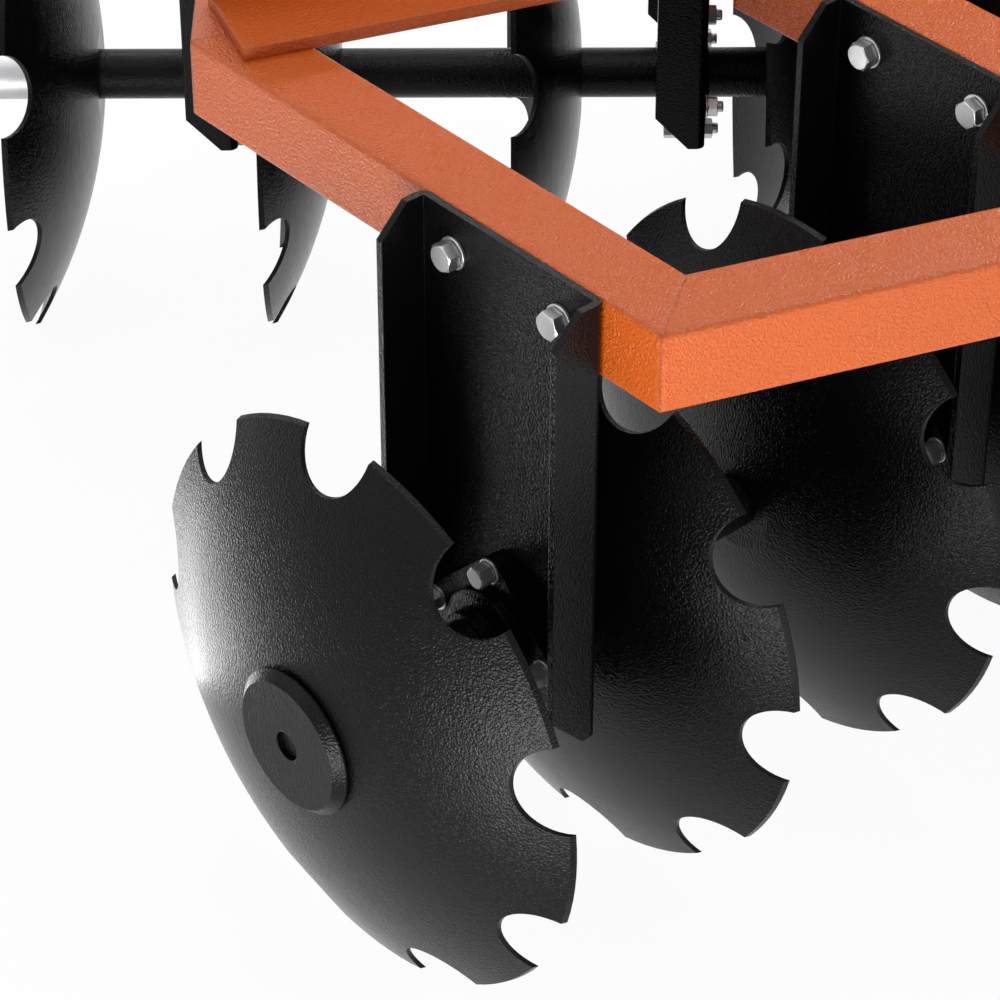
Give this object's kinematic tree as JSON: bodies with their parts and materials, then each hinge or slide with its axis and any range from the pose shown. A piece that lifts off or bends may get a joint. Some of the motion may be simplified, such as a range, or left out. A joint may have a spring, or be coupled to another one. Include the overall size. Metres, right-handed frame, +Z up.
{
  "type": "tandem disc harrow",
  "caption": "Tandem disc harrow for a three-point hitch: front and rear gangs of notched dished discs turn in bearings on folded hangers under a welded square-tube frame.",
  "frame": {"origin": "on the ground, below the centre of the harrow's plan", "axes": "+X to the machine's right, +Y forward towards the tractor, +Z up"},
  "size_m": [1.6096, 1.3702, 1.0295],
  "materials": {
    "orange_paint": "textured satin",
    "black_paint": "textured gloss",
    "bare_steel": "satin"
  },
  "bodies": {
    "frame": {"cross_member": "orange_paint", "front_beam": "orange_paint", "front_bearings_left": "black_paint", "front_bearings_right": "black_paint", "front_hangers_left": "black_paint", "front_hangers_right": "black_paint", "front_inner_rail_left": "orange_paint", "front_inner_rail_right": "orange_paint", "front_outer_rail_left": "orange_paint", "front_outer_rail_right": "orange_paint", "lower_hitch_lugs": "orange_paint", "lower_hitch_pins": "bare_steel", "mast_braces": "orange_paint", "mast_plates": "orange_paint", "mast_spacer": "orange_paint", "rear_beam": "orange_paint", "rear_bearings_left": "black_paint", "rear_bearings_right": "black_paint", "rear_hangers_left": "black_paint", "rear_hangers_right": "black_paint", "rear_inner_rail_left": "orange_paint", "rear_inner_rail_right": "orange_paint", "rear_outer_rail_left": "orange_paint", "rear_outer_rail_right": "orange_paint"},
    "front_gang_left": {"front_axle_left": "black_paint", "front_discs_left": "black_paint", "front_end_cap_left": "black_paint", "front_end_sleeve_left": "bare_steel", "front_spools_left": "black_paint"},
    "front_gang_right": {"front_axle_right": "black_paint", "front_discs_right": "black_paint", "front_end_cap_right": "black_paint", "front_end_sleeve_right": "bare_steel", "front_spools_right": "black_paint"},
    "rear_gang_left": {"rear_axle_left": "black_paint", "rear_discs_left": "black_paint", "rear_end_cap_left": "black_paint", "rear_end_sleeve_left": "bare_steel", "rear_spools_left": "black_paint"},
    "rear_gang_right": {"rear_axle_right": "black_paint", "rear_discs_right": "black_paint", "rear_end_cap_right": "black_paint", "rear_end_sleeve_right": "bare_steel", "rear_spools_right": "black_paint"}
  },
  "joints": [
    {"name": "front_gang_left_spin", "type": "hinge", "parent": "frame", "child": "front_gang_left", "pos_m": [-0.3326, 0.32928, 0.2286], "axis": [-0.9367, 0.3502, 0], "continuous": true},
    {"name": "front_gang_right_spin", "type": "hinge", "parent": "frame", "child": "front_gang_right", "pos_m": [0.3326, 0.32928, 0.2286], "axis": [0.9367, 0.3502, 0], "continuous": true},
    {"name": "rear_gang_left_spin", "type": "hinge", "parent": "frame", "child": "rear_gang_left", "pos_m": [-0.38881, -0.35095, 0.2286], "axis": [-0.9367, -0.3502, 0], "continuous": true},
    {"name": "rear_gang_right_spin", "type": "hinge", "parent": "frame", "child": "rear_gang_right", "pos_m": [0.38881, -0.35095, 0.2286], "axis": [0.9367, -0.3502, 0], "continuous": true}
  ]
}
